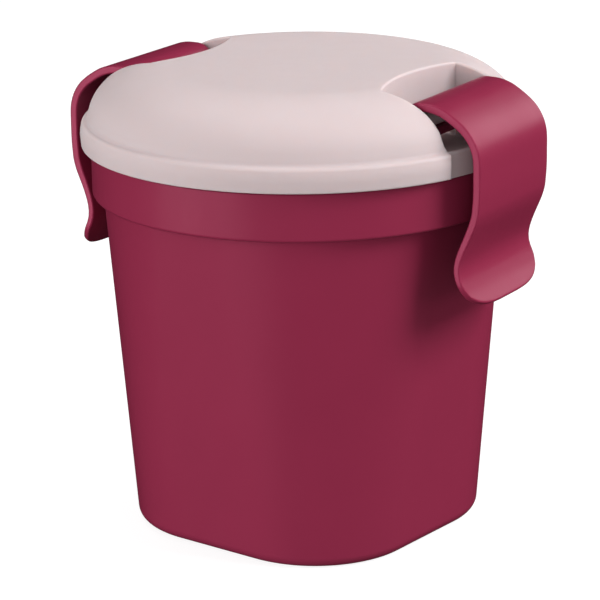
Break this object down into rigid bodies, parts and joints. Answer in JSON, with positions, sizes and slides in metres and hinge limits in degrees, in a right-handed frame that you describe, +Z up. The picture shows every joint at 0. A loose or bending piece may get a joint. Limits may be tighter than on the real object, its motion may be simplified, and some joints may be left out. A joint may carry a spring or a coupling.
{
  "type": "lidded lunch mug",
  "caption": "Plastic lunch mug: cup that turns from a round rim to a rounded-square base, domed lid, gasket and hinged S-shaped clips.",
  "frame": {"origin": "middle of the base, on the plane the cup stands on", "axes": "+Z up out of the mug; +X towards the right clip, -X towards the left clip; the hinge axes run along Y"},
  "size_m": [0.1208, 0.1136, 0.12],
  "materials": {
    "cup_plastic": "burgundy polypropylene, satin gloss",
    "clip_plastic": "burgundy polypropylene, satin gloss, a little brighter than the cup",
    "lid_plastic": "pale pink-grey polypropylene, fine satin",
    "seal_rubber": "translucent grey soft rubber"
  },
  "bodies": {
    "cup_body": {"cup": "cup_plastic"},
    "lid_body": {"lid": "lid_plastic", "seal_ring": "seal_rubber"},
    "clip_right_body": {"clip_right": "clip_plastic"},
    "clip_left_body": {"clip_left": "clip_plastic"}
  },
  "joints": [
    {"name": "lid_lift", "type": "slide", "parent": "cup_body", "child": "lid_body", "axis": [0, 0, 1], "range_m": [0, 0.18]},
    {"name": "clip_right_hinge", "type": "hinge", "parent": "lid_body", "child": "clip_right_body", "pos_m": [0.04351, 0, 0.1127], "axis": [0, -1, 0], "range_deg": [0, 100]},
    {"name": "clip_left_hinge", "type": "hinge", "parent": "lid_body", "child": "clip_left_body", "pos_m": [-0.04351, 0, 0.1127], "axis": [0, 1, 0], "range_deg": [0, 100]}
  ]
}
